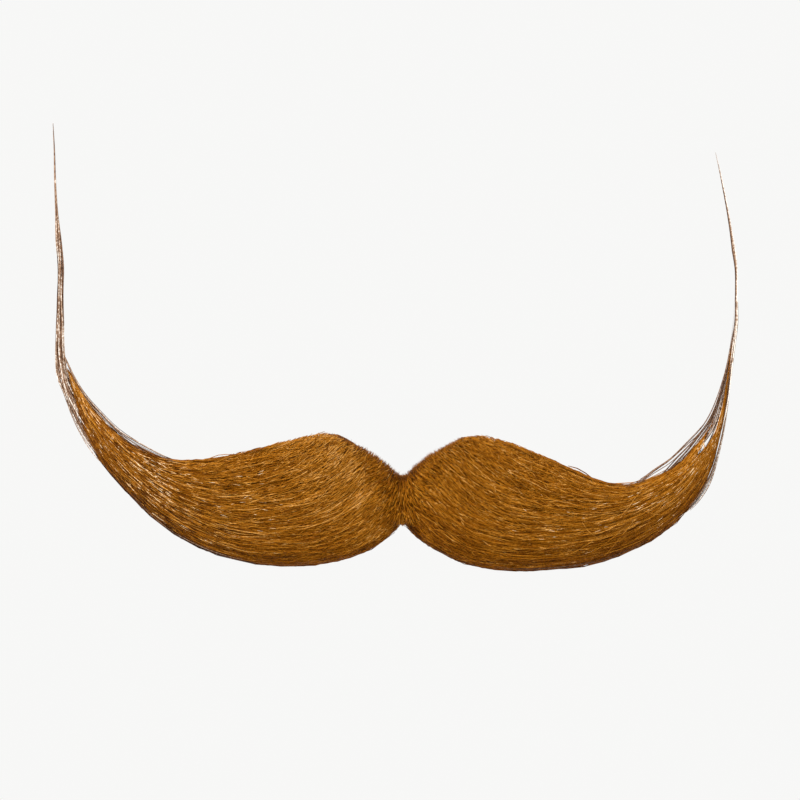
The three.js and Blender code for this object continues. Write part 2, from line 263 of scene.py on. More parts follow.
def lock_height(across):
    """From 0 in the grooves between locks to 1 on top of a lock."""
    apart = np.abs(np.asarray(across)[..., None] - np.array(LOCKS)) / LOCK_HALF
    return np.sqrt(np.maximum(0, 1 - apart**2)).max(-1)


def front_face(across):
    """How far forward the outer hair lies, as a share of the depth."""
    stand = FRONT_SWELL + HAIR_STAND + LOCK_STAND * lock_height(across)
    return WIDEST + stand * roundness_at(across) ** FRONT_ROUNDNESS


def back_face(table, station, across):
    """How far forward the hindmost hair lies. It is flat over the cloth and round past its end."""
    middle_x = np.abs(smooth_rows(table, station)[..., 2])
    free = smoothstep((middle_x - BACKING_WIDTH / 2) / TURN_LENGTH)
    swell = SEATED_BACK["swell"] + (FREE_BACK["swell"] - SEATED_BACK["swell"]) * free
    power = SEATED_BACK["roundness"] + (FREE_BACK["roundness"] - SEATED_BACK["roundness"]) * free
    ridge = LOCK_STAND * lock_height(across) * free * roundness_at(across)
    return np.maximum(LEAST_BACK, WIDEST - swell * roundness_at(across) ** power - ridge)


def srgb(code):
    """A hex colour as linear red, green, blue and alpha."""
    channels = [int(code[i : i + 2], 16) / 255 for i in (1, 3, 5)]
    linear = [c / 12.92 if c <= 0.04045 else ((c + 0.055) / 1.055) ** 2.4 for c in channels]
    return (*linear, 1.0)


def add_node(tree, kind, settings=None, **links):
    """Adds a node. settings sets its properties, the values of its unlinked sockets and the stops of a
    colour ramp. links feeds its sockets: an underscore in a name stands for a space, and in_ with a
    number picks a socket by its place."""
    node = tree.nodes.new(kind)
    for name, value in (settings or {}).items():
        if name == "stops":
            elements = node.color_ramp.elements
            while len(elements) < len(value):
                elements.new(1.0)
            for element, (place, code) in zip(elements, value):
                element.position, element.color = place, srgb(code)
        elif name in node.inputs and not hasattr(node, name):
            node.inputs[name].default_value = value
        else:
            setattr(node, name, value)
    for name, source in links.items():
        key = int(name[3:]) if name.startswith("in_") else name.replace("_", " ")
        tree.links.new(source, node.inputs[key])
    return node


def new_material(name, settings):
    """A material with one Principled shader, and its node tree."""
    material = bpy.data.materials.new(name)
    material.use_nodes = True
    tree = material.node_tree
    tree.nodes.clear()
    shader = add_node(tree, "ShaderNodeBsdfPrincipled", settings)
    add_node(tree, "ShaderNodeOutputMaterial", Surface=shader.outputs["BSDF"])
    return material, tree, shader


def combed_fibre(name, stops, glow, roughness, patches, flecks):
    """Modacrylic fibre, extruded smooth, cut and combed: a soft satin line of light along each hair.
    The dye takes unevenly, in patches a few millimetres wide and in flecks along single fibres."""
    settings = {
        "Roughness": roughness,
        "IOR": 1.5,
        "Specular IOR Level": 0.17,
        "Specular Tint": srgb(glow),
    }
    material, tree, shader = new_material(name, settings)
    place = add_node(tree, "ShaderNodeTexCoord").outputs["Object"]
    tone = add_node(tree, "ShaderNodeAttribute", {"attribute_name": "tone"}).outputs["Fac"]
    patch_size, fleck_size = 4.0, 0.6
    for size, spread in ((patch_size, patches), (fleck_size, flecks)):
        settings = {"Scale": 1 / (size * MM), "Detail": 2.0}
        noise = add_node(tree, "ShaderNodeTexNoise", settings, Vector=place).outputs["Fac"]
        settings = {"From Min": 0.25, "From Max": 0.75, "To Min": -spread, "To Max": spread}
        noise = add_node(tree, "ShaderNodeMapRange", settings, Value=noise).outputs["Result"]
        tone = add_node(tree, "ShaderNodeMath", {"operation": "ADD"}, in_0=tone, in_1=noise)
        tone = tone.outputs["Value"]
    colour = add_node(tree, "ShaderNodeValToRGB", {"stops": stops}, Fac=tone).outputs["Color"]
    tree.links.new(colour, shader.inputs["Base Color"])
    return material


def woven_tape():
    """Plain-woven cotton tape, washed and unglazed, which looks matt, with a fine grid of threads.
    Real threads lie about 0.25 mm apart. They are drawn twice as coarse, so that they show."""
    settings = {"Roughness": 0.92, "Sheen Weight": 0.15, "Sheen Roughness": 0.6, "Specular IOR Level": 0.25}
    material, tree, shader = new_material("plain-woven cotton tape", settings)
    spacing = 0.5
    place = add_node(tree, "ShaderNodeTexCoord").outputs["Object"]
    # One wave of the band pattern is 1 / (20 / 2 pi) of a unit at scale 1.
    settings = {"Scale": math.pi / 20 / (spacing * MM), "Distortion": 0.6, "Detail": 1.0}
    waves = []
    for direction in "XZ":
        banded = settings | {"bands_direction": direction}
        waves.append(add_node(tree, "ShaderNodeTexWave", banded, Vector=place).outputs["Fac"])
    settings = {"Scale": 1 / (spacing * MM)}
    check = add_node(tree, "ShaderNodeTexChecker", settings, Vector=place).outputs["Fac"]
    # A mix node keeps its number sockets in the third and fourth place.
    settings = {"data_type": "FLOAT"}
    thread = add_node(tree, "ShaderNodeMix", settings, Factor=check, in_2=waves[0], in_3=waves[1])
    thread = thread.outputs[0]
    settings = {"Scale": 1 / (5 * MM), "Detail": 3.0}
    dirt = add_node(tree, "ShaderNodeTexNoise", settings, Vector=place).outputs["Fac"]
    settings = {"data_type": "FLOAT", "Factor": 0.35}
    shade = add_node(tree, "ShaderNodeMix", settings, in_2=thread, in_3=dirt).outputs[0]
    settings = {"stops": [(0.1, "#6b4d33"), (0.5, "#8a6748"), (0.85, "#a3805e")]}
    colour = add_node(tree, "ShaderNodeValToRGB", settings, Fac=shade).outputs["Color"]
    tree.links.new(colour, shader.inputs["Base Color"])
    bump = add_node(tree, "ShaderNodeBump", {"Strength": 0.5, "Distance": 0.12 * MM}, Height=thread)
    tree.links.new(bump.outputs["Normal"], shader.inputs["Normal"])
    return material


def sewing_thread():
    """Spun polyester thread, twisted and dyed to match the hair, which looks matt and slightly fuzzy."""
    material, tree, shader = new_material("spun polyester sewing thread", {"Roughness": 0.8})
    place = add_node(tree, "ShaderNodeTexCoord").outputs["Object"]
    settings = {"Scale": 1 / (0.3 * MM), "Detail": 1.0}
    fuzz = add_node(tree, "ShaderNodeTexNoise", settings, Vector=place).outputs["Fac"]
    settings = {"stops": [(0.25, "#5b3413"), (0.75, "#8b5a2a")]}
    colour = add_node(tree, "ShaderNodeValToRGB", settings, Fac=fuzz).outputs["Color"]
    tree.links.new(colour, shader.inputs["Base Color"])
    return material


# Colours of a fibre by its tone, from 0 in the shade to 1 in a glint.
GINGER = [
    (0.0, "#3d1c02"),
    (0.22, "#6a3803"),
    (0.5, "#8a5208"),
    (0.75, "#a86f22"),
    (0.92, "#cf9a55"),
    (1.0, "#f0d2a8"),
]
WAXED = [(0.0, "#3d2617"), (0.4, "#775640"), (0.75, "#ab8d74"), (1.0, "#f0e6da")]
PACKED_SHADE = [(0.0, "#2e1502"), (1.0, "#74400a")]
MATERIALS = {
    "hair": combed_fibre("combed ginger modacrylic fibre", GINGER, "#ffc27a", 0.42, 0.09, 0.1),
    # Wax fills the gaps between fibres and darkens them, as water does. Its strong flecks and palest tones
    # also stand for painted glints.
    "waxed hair": combed_fibre("waxed ginger modacrylic fibre", WAXED, "#fff0e0", 0.35, 0.1, 0.3),
    # The dark packed fibre of the under layers is painted shade between the strands.
    "under": combed_fibre("packed ginger modacrylic fibre in painted shade", PACKED_SHADE, "#ffc27a", 0.6, 0.2, 0.3),
    "cloth": woven_tape(),
    "thread": sewing_thread(),
}


def show(mesh, name):
    """Adds an object for a mesh, which rides with the part."""
    piece = bpy.data.objects.new(name, mesh)
    bpy.context.scene.collection.objects.link(piece)
    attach(piece, "root")
    return piece


def loft(name, rings, material):
    """A smooth closed piece through rings of points in millimetres."""
    count, sides = rings.shape[:2]
    ring = np.arange(count - 1)[:, None] * sides
    side = np.arange(sides)[None, :]
    after = (side + 1) % sides
    quads = np.stack([ring + side, ring + after, ring + sides + after, ring + sides + side], -1)
    caps = [list(range(sides))[::-1], [(count - 1) * sides + s for s in range(sides)]]
    mesh = bpy.data.meshes.new(name)
    mesh.from_pydata((rings.reshape(-1, 3) * MM).tolist(), [], quads.reshape(-1, 4).tolist() + caps)
    work = bmesh.new()
    work.from_mesh(mesh)
    bmesh.ops.recalc_face_normals(work, faces=work.faces)
    work.to_mesh(mesh)
    work.free()
    mesh.polygons.foreach_set("use_smooth", [True] * (len(mesh.polygons) - 2) + [False, False])
    mesh.materials.append(MATERIALS[material])
    return show(mesh, name)


def set_values(mesh, name, values):
    """Gives every point of a mesh a number that its material can read."""
    mesh.attributes.new(name, "FLOAT", "POINT").data.foreach_set("value", np.float32(values).ravel())


STRAND_SIDES = 3
# No strand runs this way, so the sides of its section can be measured from it.
OFF_AXIS = np.array([0.13, -0.97, 0.2])


def strands(name, paths, widths, tones, material="hair", slot="hair"):
    """Closed tapered fibres along paths of equal point counts, as one mesh. widths and tones are given
    at every point of every path."""
    count, steps, _ = paths.shape
    sides = STRAND_SIDES
    tangent = np.gradient(paths, axis=1)
    tangent /= np.maximum(np.linalg.norm(tangent, axis=-1, keepdims=True), 1e-9)
    aside = np.cross(tangent, OFF_AXIS)
    aside /= np.maximum(np.linalg.norm(aside, axis=-1, keepdims=True), 1e-9)
    outward = np.cross(aside, tangent)
    turn = np.random.default_rng(count).uniform(0, 2 * math.pi, (count, 1, 1))
    turn = turn + np.arange(sides) * 2 * math.pi / sides
    ring = np.cos(turn)[..., None] * aside[:, :, None] + np.sin(turn)[..., None] * outward[:, :, None]
    points = paths[:, :, None] + ring * widths[:, :, None, None] / 2

    first = np.arange(count)[:, None, None] * steps * sides
    here = first + np.arange(steps - 1)[None, :, None] * sides
    side = np.arange(sides)[None, None, :]
    after = (side + 1) % sides
    quads = np.stack([here + side, here + sides + side, here + sides + after, here + after], -1)
    starts = np.arange(count)[:, None] * steps * sides
    root_caps = starts + np.arange(sides)
    tip_caps = starts + (steps - 1) * sides + np.arange(sides)[::-1]
    corners = np.concatenate([quads.ravel(), root_caps.ravel(), tip_caps.ravel()])
    sizes = np.concatenate([np.full(quads.size // 4, 4), np.full(2 * count, sides)])

    mesh = bpy.data.meshes.new(name)
    mesh.vertices.add(count * steps * sides)
    mesh.vertices.foreach_set("co", (points * MM).astype(np.float32).ravel())
    mesh.loops.add(len(corners))
    mesh.loops.foreach_set("vertex_index", corners.astype(np.int32))
    mesh.polygons.add(len(sizes))
    mesh.polygons.foreach_set("loop_start", (np.cumsum(sizes) - sizes).astype(np.int32))
    mesh.polygons.foreach_set("use_smooth", np.ones(len(sizes), bool))
    mesh.materials.append(MATERIALS[material])
    mesh.update(calc_edges=True)
    set_values(mesh, "tone", np.broadcast_to(tones[:, :, None], (count, steps, sides)))
    add_bake_map(mesh, count, steps)
    return show(mesh, name)


def add_bake_map(mesh, count, steps):
    """Gives each strand a cell of its own in a square map, so that its colour keeps."""
    sides = STRAND_SIDES
    cells = math.ceil(math.sqrt(count))
    margin = 0.12
    strand = np.arange(count)
    corner = np.stack([strand % cells, strand // cells], -1) + margin
    room = 1 - 2 * margin
    step = np.arange(steps - 1)[None, :, None]
    side = np.arange(sides)[None, None, :]
    u = np.stack(np.broadcast_arrays(side, side, side + 1, side + 1), -1) / sides
    v = np.stack(np.broadcast_arrays(step, step + 1, step + 1, step), -1) / (steps - 1)
    u, v = np.broadcast_arrays(u, v)
    quads = corner[:, None, None, None] + room * np.stack([u, v], -1)
    spots = np.linspace(0, room, sides)
    root_cap = corner[:, None] + np.stack([spots, [0, -margin / 3, 0]], -1)
    tip_cap = corner[:, None] + np.stack([spots[::-1], room + np.array([0, margin / 3, 0])], -1)
    places = np.concatenate([quads.reshape(-1, 2), root_cap.reshape(-1, 2), tip_cap.reshape(-1, 2)])
    mesh.uv_layers.new(name="OFBake").data.foreach_set("uv", (places / cells).astype(np.float32).ravel())


def taper(along, root=0.6, tip_from=0.55):
    """Thickness along a strand: a little thin at the root, and drawn out to a fine tip."""
    rising = root + (1 - root) * smoothstep(along, 0, 0.1)
    return rising * (1 - 0.85 * smoothstep(along, tip_from, 1) ** 1.5)


def slow_waves(rng, count, along, waves=(0.7, 1.9, 4.3), strongest=1.6):
    """A smooth random drift in three directions for each strand, none at its root. strongest keeps a
    single hair from leaving the rest."""
    drift = np.zeros((count, along.shape[-1], 3))
    for wave in waves:
        phase = rng.uniform(0, 2 * math.pi, (count, 1, 3))
        strength = np.clip(rng.normal(0, 1, (count, 1, 3)), -strongest, strongest) / wave
        drift += strength * np.sin(2 * math.pi * wave * along[..., None] + phase)
    return drift * smoothstep(along, 0, 0.2)[..., None]


# Hair springs steeply from the root line and bends into the flow of its wing. This is how far across
# the wing it crosses while it bends, and over how many stations.
ROOT_BEND = 0.15
BEND_STATIONS = 1.6

# Where the combed body lies across a wing: station, upper edge, lower edge. Near the end of the wing,
# thin waxed bundles run beside it.
BODY_EDGES = {
    "left": [
        (0.0, 0.0, 1.0),
        (1.0, 0.0, 0.99),
        (2.0, 0.0, 0.98),
        (3.0, 0.0, 0.97),
        (5.0, 0.0, 0.963),
        (7.0, 0.0, 0.963),
        (7.9, 0.02, 0.96),
        (8.6, 0.09, 0.96),
        (9.3, 0.18, 0.96),
        (10.1, 0.26, 0.97),
        (10.8, 0.27, 0.92),
        (11.2, 0.24, 0.8),
        (11.5, 0.2, 0.68),
        (11.8, 0.18, 0.56),
        (12.1, 0.18, 0.46),
        (12.4, 0.22, 0.38),
    ],
    "right": [
        (0.0, 0.0, 0.99),
        (1.0, 0.0, 0.975),
        (2.0, 0.0, 0.967),
        (3.5, 0.0, 0.968),
        (5.5, 0.0, 0.968),
        (7.0, 0.0, 0.978),
        (8.4, 0.0, 0.99),
        (9.0, 0.04, 0.992),
        (9.5, 0.12, 0.985),
        (9.9, 0.17, 0.97),
        (10.4, 0.17, 0.95),
        (10.8, 0.2, 0.93),
        (11.3, 0.26, 0.9),
        (11.8, 0.31, 0.87),
        (12.3, 0.36, 0.85),
        (12.9, 0.42, 0.82),
        (13.5, 0.47, 0.79),
        (14.3, 0.54, 0.76),
    ],
}
# Where its hairs end, from its upper edge to its lower: place across the body, station.
BODY_ENDS = {
    "left": [(0.0, 12.1), (0.3, 12.4), (0.6, 12.2), (1.0, 11.6)],
    "right": [(0.0, 11.1), (0.14, 11.4), (0.26, 10.8), (0.38, 11.8), (0.65, 12.7), (1.0, 12.3)],
}
# Some end up to this many stations earlier.
EARLY_END = 1.3
# The share of hairs around the middle of the body that run on into the point, where the last of them
# end, the place across the body that they lie around, how far from it, and how much earlier some end.
RUNNING_ON = {"left": (0.0, 13.0), "right": (0.35, 14.4)}
RUNNING_PLACE = 0.65
RUNNING_REACH = 0.2
EARLY_RUNNING_END = 1.5
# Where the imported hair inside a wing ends, and over how many stations it thins before that.
PACKED_ENDS = {"left": 10.8, "right": 10.5}
PACKED_THINNING = 1.2
# Where the body opens into bundles: station, stations each way, place across the body, and how much.
GAPS = {
    "left": [(11.6, 1.2, 0.66, 0.08)],
    "right": [(11.4, 1.2, 0.26, 0.2), (13.3, 0.9, 0.6, 0.15)],
}
# Within about this distance across the body, hair beside a gap is pushed aside.
GAP_PUSH = 0.22


def hump(value, middle, reach):
    """1 at the middle, falling smoothly to 0 at its reach on either side."""
    return 1 - smoothstep(np.abs(value - middle), 0, reach)


def combed(wing, across, station, first):
    """Where hair that starts at the first station lies across the body at a later one."""
    bend = np.exp(-np.maximum(first, -1) / BEND_STATIONS) - np.exp(-np.maximum(station, -1) / BEND_STATIONS)
    across = across + ROOT_BEND * (1 - np.clip(across, 0, 1)) * bend
    for middle, reach, place, opening in GAPS[wing]:
        apart = across - place
        push = opening / 2 * np.exp(-np.abs(apart) / GAP_PUSH) * np.sign(apart)
        across = across + push * hump(station, middle, reach)
    return across


def in_wing(wing, across, station):
    """Turns a place across the body into one across the whole wing."""
    stations, upper, lower = np.array(BODY_EDGES[wing]).T
    upper, lower = np.interp(station, stations, upper), np.interp(station, stations, lower)
    return upper + (lower - upper) * across


# Fine locks: waves across a wing, how fast they wander along it, and their strength. The shift keeps
# the two wings from being alike. The locks stand out by this share of the depth.
FINE_LOCKS = [(9.0, 0.5, 1.0), (15.7, -0.35, 0.8), (27.1, 0.9, 0.6)]
LOCK_SHIFT = {"left": 0.3, "right": 1.7}
FINE_LOCK_STAND = 0.02


def fine_locks(wing, across, station):
    """From -1 between fine locks to 1 on top of them. They grow distinct away from the root."""
    shift = LOCK_SHIFT[wing]
    total = sum(
        strength * np.sin(2 * math.pi * count * across + 3 * np.sin(wander * station + shift * count))
        for count, wander, strength in FINE_LOCKS
    )
    strongest = sum(strength for _, _, strength in FINE_LOCKS)
    return total / strongest * (0.35 + 0.65 * smoothstep(station, 1.5, 7))


def painted_light_and_shade(wing, across, station):
    """Painted light and shade of the hair by its place: darker at the roots, partly darker fibre and partly
    painted shade; darker towards the lower edge, painted shade under the wings; darker between fine locks,
    painted shade in the grooves; and on the left wing lighter near the parting and darker towards its end,
    painted light.
    """
    root_shade = -0.18 * np.exp(-np.maximum(station, 0) / 0.15)
    underside_shade = -0.17 * smoothstep(across, 0.5, 0.95) - 0.15 * smoothstep(across, 0.93, 1.0)
    # Painted light: the left wing is lighter near the parting and darker towards its end.
    near, outer = {"left": (0.19, -0.24), "right": (0.0, -0.01)}[wing]
    light = near * hump(station, 1.0, 3.0) + outer * smoothstep(station, 5.5, 9)
    return root_shade + underside_shade + light + 0.1 * fine_locks(wing, across, station)


# The root line, where the hair springs from the cloth, up from the parting to the shoulders: how far
# out, and how high.
ROOT_LINE = [(0, 4.9), (2, 6.2), (4.4, 8.5), (7, 10.5), (9.5, 12.0), (12, 13.5), (14.8, 15.0), (17.6, 16.6)]
# Past its end the line climbs out of the way of all hair, and is this far up this far out.
CLEAR_OUT = 22
CLEAR_RISE = 40
# The short hair of the parting, and the bristles that stand up along the root line: how far to each
# side of the middle they reach, how far below the line they start, how far they lean outwards at the
# sides, and how long, how thick and how wavy they are.
PARTING_REACH = 8.5
PARTING_DROP = 11
PARTING_LEAN = math.radians(50)
PARTING_LENGTHS = (1.2, 3.6)
BRISTLE_REACH = 15.5
BRISTLE_DROPS = (0.3, 1.6)
BRISTLE_LEAN = math.radians(-40)
BRISTLE_LENGTHS = (0.5, 1.4)
SHORT_WIDTH = 0.18
SHORT_SWAY = 0.08

# The notch between the wings, below the parting: its top, its slope to both sides and its rounding.
NOTCH_TOP_Z = -7.0
NOTCH_SLOPE = 0.75
NOTCH_ROUNDING = 1


def root_line(x):
    """Height of the root line. Beyond the shoulders, hair is free of it."""
    out = np.abs(x)
    return np.interp(out, *zip(*ROOT_LINE)) + CLEAR_RISE * smoothstep(out, ROOT_LINE[-1][0], CLEAR_OUT)


def notch_line(x):
    """Height of the edge of the notch."""
    return NOTCH_TOP_Z - NOTCH_SLOPE * (np.hypot(x, NOTCH_ROUNDING) - NOTCH_ROUNDING)


# Layers of hair in a wing, from the inside out. first is where strands start and length how long they
# are, in millimetres along the wing. sunk is how deep they lie, as a share of the wing's depth, and
# bury how far both ends dive below that, in millimetres. crossing is how much they stray across the
# wing. lanes are the places across it that they keep to, from and to, and a power, which draws them
# to the lower edge where it is under 1. tone is the mean and the spread of a layer's tones.
# Real fibre is about 0.1 mm wide. The outer layers are drawn up to half as wide again, and the others
# two to nearly three times as wide, so that they show and close the view.
WING_LAYERS = [
    dict(name="body", count=1050, steps=11, first=(0, 2), length=(40, 125), lengthening=0.0,
         sunk=(0.02, 0.13), bury=0.3, crossing=0.025, width=0.25, sway=0.2, tone=(0.49, 0.08)),
    dict(name="middle", count=1300, steps=8, first=(0, 88), length=(14, 34), lengthening=0.4,
         sunk=(0.0, 0.06), bury=0.5, crossing=0.03, width=0.2, sway=0.14, tone=(0.51, 0.11)),
    dict(name="outer", count=8900, steps=4, first=(-0.6, 100), length=(2.2, 6.6), lengthening=0.8,
         sunk=(-0.03, 0.02), bury=0.4, crossing=0.018, width=0.145, sway=0.05, tone=(0.5, 0.18)),
    dict(name="fine", count=2400, steps=3, first=(-0.6, 100), length=(1.4, 3.4), lengthening=0.6,
         sunk=(-0.036, 0.0), bury=0.2, crossing=0.018, width=0.12, sway=0.0, tone=(0.53, 0.22)),
    # Single fibres that keep their line over a long way, most of them in the lower half.
    dict(name="long_fine", count=460, steps=8, first=(4, 94), length=(7, 17), lengthening=0.5,
         sunk=(-0.036, -0.01), bury=0.25, crossing=0.03, width=0.14, sway=0.1, tone=(0.6, 0.17),
         lanes=(0.06, 0.97, 0.75)),
    # A few strays lie across the others.
    dict(name="stray", count=18, steps=9, first=(44, 94), length=(7, 16), lengthening=0.0,
         sunk=(-0.05, -0.035), bury=0.15, crossing=0.26, width=0.13, sway=0.15, tone=(0.76, 0.1),
         lanes=(0.2, 0.85, 1.0)),
    dict(name="back", count=1200, steps=7, first=(0, 92), length=(16, 42), lengthening=0.4,
         sunk=(0.0, 0.08), bury=0.3, crossing=0.03, width=0.27, sway=0.25, tone=(0.5, 0.12)),
    # Above the cloth, short hair covers the back of the shoulders.
    dict(name="back_shoulder", count=560, steps=4, first=(-0.6, 26), length=(3, 8), lengthening=0.4,
         sunk=(-0.02, 0.04), bury=0.25, crossing=0.03, width=0.19, sway=0.08, tone=(0.5, 0.14),
         lanes=(0.0, 0.5, 1.0)),
    # On the crest, the narrow upper edge, hair lies side by side from the back to the front.
    dict(name="crest", count=620, steps=4, first=(10, 90), length=(4, 9), lengthening=0.4,
         sunk=(-0.02, 0.02), bury=0.0, crossing=0.01, width=0.19, sway=0.08, tone=(0.5, 0.15),
         lanes=(-0.004, 0.012, 1.0)),
    # Painted highlights: here and there a short pale fibre stands for one that turns towards the light, a
    # painted glint.
    dict(name="bright", count=190, steps=3, first=(28, 100), length=(0.9, 2.6), lengthening=0.6,
         sunk=(-0.035, -0.015), bury=0.12, crossing=0.01, width=0.11, sway=0.0, tone=(0.95, 0.1),
         lanes=(0.12, 0.96, 1.0)),
    dict(name="bright_end", count=500, steps=3, first=(60, 104), length=(1.0, 3.2), lengthening=0.0,
         sunk=(-0.035, -0.015), bury=0.12, crossing=0.01, width=0.12, sway=0.0, tone=(1.02, 0.1),
         lanes=(0.12, 0.96, 1.0)),
]
# The left wing catches more light, which is painted into the hair: the share of the painted glints that each
# wing gets, and how much more its outer hair varies in tone, as painted light.
GLINTS = {"left": 1.0, "right": 0.4}
OUTER_CONTRAST = {"left": 1.0, "right": 0.0}
# Ordinary fibres are no paler than this.
PALEST = 0.82
# Where the crest turns into the front and the back, as a share of the way across the wing.
CREST_DROP = 0.025
# Between which places across the wing its outermost hairs stop, at the upper edge and at the lower.
UPPER_STOPS = (-0.015, 0.01)
LOWER_STOPS = (0.99, 1.012)


def spread_starts(rng, wing, count, first, last):
    """Where strands start along a wing, so that they cover it evenly however wide it is."""
    table = TABLES[wing]
    length = np.linspace(first, last, 200)
    rows = smooth_rows(table, np.maximum(station_at(wing, length), 0))
    width = np.linalg.norm(rows[:, 0:2] - rows[:, 4:6], axis=1) + 2
    share = np.cumsum(width) / width.sum()
    return np.interp(rng.uniform(0, 1, count), share, length)


def farthest_ends(rng, wing, across):
    """How far along its wing each hair may reach, by its place across the body."""
    last = np.interp(across, *zip(*BODY_ENDS[wing])) - EARLY_END * rng.uniform(0, 1, across.shape) ** 2
    share, far_end = RUNNING_ON[wing]
    chosen = rng.uniform(0, 1, across.shape) < share
    running_on = chosen & (np.abs(across - RUNNING_PLACE) < RUNNING_REACH)
    last = np.where(running_on, far_end - EARLY_RUNNING_END * rng.uniform(0, 1, across.shape), last)
    return np.interp(last, np.arange(len(FLOW[wing])), FLOW[wing])


def passed_stations(rng, wing, layer, across, along):
    """The stations that each strand passes from its start to its end."""
    last = farthest_ends(rng, wing, across)
    starts = spread_starts(rng, wing, len(across), *layer["first"])[:, None]
    # Hair is combed out longer, the farther it lies from the root.
    longer = 1 + layer["lengthening"] * (smoothstep(starts, 10, 75) - 0.5)
    shortest, longest = layer["length"]
    ends = np.minimum(starts + longer * rng.uniform(shortest, longest, across.shape), last)
    starts = np.minimum(starts, ends - shortest * 0.7)
    return station_at(wing, starts + (ends - starts) * along)


def strand_lanes(rng, layer, across, along):
    """Where each strand lies across the body before it is combed."""
    if "lanes" in layer:
        low, high, power = layer["lanes"]
        across = low + (high - low) * across**power
    else:
        # More hair for the steep upper and lower edges.
        across = across + 0.5 * (0.5 - 0.5 * np.cos(math.pi * across) - across)
    return across + layer["crossing"] * rng.normal(0, 1, across.shape) * (along - 0.5)


def strand_depths(rng, wing, layer, station, across, sunk):
    """How far forward each strand lies, as a share of the depth, and which way along Y is inwards."""
    relief = FINE_LOCK_STAND * fine_locks(wing, across, station)
    if layer["name"].startswith("back"):
        return back_face(TABLES[wing], station, across) - relief + sunk, -1
    if layer["name"] == "crest":
        behind = back_face(TABLES[wing], station, across + CREST_DROP)
        front = front_face(across + CREST_DROP)
        return behind + (front - behind) * rng.uniform(0, 1, sunk.shape), 0
    return front_face(across) + relief - sunk, 1


def layer_hair(wing, rng, layer):
    """Paths, widths and tones of one layer of hair in a wing."""
    table, count, steps = TABLES[wing], layer["count"], layer["steps"]
    glints = layer["name"].startswith("bright")
    if glints:
        count = round(count * GLINTS[wing])
    along = np.linspace(0, 1, steps)[None, :]
    place = ((rng.permutation(count) + rng.uniform(0, 1, count)) / count)[:, None]
    station = passed_stations(rng, wing, layer, place, along)
    across = strand_lanes(rng, layer, place, along)
    across = combed(wing, across, station, station[:, :1])
    upper = rng.uniform(*UPPER_STOPS, (count, 1))
    lower = rng.uniform(*LOWER_STOPS, (count, 1))
    across = np.clip(across, upper, lower)
    sunk = rng.uniform(*layer["sunk"], (count, 1))
    forward, inwards = strand_depths(rng, wing, layer, station, across, sunk)
    paths = hair_place(table, station, in_wing(wing, across, station), forward)
    dive = layer["bury"] * (1 - np.sin(math.pi * along) ** 0.6)
    paths[..., 1] += inwards * dive * np.minimum(1, smooth_rows(table, station)[..., 6] / 4)
    # Wax holds the hair straighter towards the end of a wing.
    settle = 1 - 0.7 * smoothstep(station, 9, 13)
    paths += layer["sway"] * slow_waves(rng, count, along) * settle[..., None] * [1, 0.4, 1]
    widths = layer["width"] * rng.uniform(0.75, 1.25, (count, 1)) * taper(along)
    # Painted light: the outer hair of the left wing, where more light falls, varies more in tone and may be
    # paler.
    contrast = OUTER_CONTRAST[wing] * smoothstep(station, 4.5, 8)
    mean, spread = layer["tone"]
    # Painted shade: strands that lie deeper are darker.
    tones = mean - 0.8 * np.maximum(sunk, 0) + spread * rng.normal(0, 1, (count, 1)) * (1 + contrast)
    palest = 1.0 if glints else PALEST + 0.15 * contrast
    tones = np.clip(tones + painted_light_and_shade(wing, across, station), 0, palest)
    kept = paths[:, 0, 2] < root_line(paths[:, 0, 0]) + rng.uniform(-0.4, 0.2, count)
    return paths[kept], widths[kept], tones[kept]


def wing_hair(wing):
    """The hair of one wing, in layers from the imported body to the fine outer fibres."""
    rng = np.random.default_rng({"left": 11, "right": 23}[wing])
    for layer in WING_LAYERS:
        piece = strands(f"{wing}_wing_{layer['name']}_hair", *layer_hair(wing, rng, layer))
        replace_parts(piece, f"{wing}_wing")


WAXED_WIDTH = 0.22
# How many hairs of a waxed point are left at each station, as a share of those at its foot.
POINT_THINNING = [(13.5, 1.0), (14.5, 0.85), (16, 0.7), (17, 0.52), (18.5, 0.36), (20, 0.22), (21, 0.12)]
# Hairs in a point, between which stations they start, where they lie across the wing there, between
# which stations they close up, and then, station by station, the middle of the bundle and its width.
POINTS = {
    "left": {
        "count": 64,
        "starts": (9.4, 12.6),
        "across": (0.45, 1.0),
        "settling": (12.0, 13.3),
        "middle": [(12, 0.55), (21, 0.55)],
        "tightness": [(12, 1.9), (13, 1.9), (13.7, 1.25), (14.3, 0.95), (15.5, 0.85), (17, 1.1), (18, 0.7),
                      (21, 0.6)],
    },
    "right": {
        "count": 34,
        "starts": (11.0, 13.4),
        "across": (0.25, 0.95),
        "settling": (12.2, 14.4),
        "middle": [(12, 0.66), (13.5, 0.74), (14.3, 0.9), (15.2, 1.1), (16.5, 0.9), (18.5, 0.66), (21, 0.6)],
        "tightness": [(12, 1.0), (14.3, 0.85), (15.5, 0.6), (17, 0.6), (17.6, 1.1), (18.4, 0.6), (21, 0.5)],
    },
}


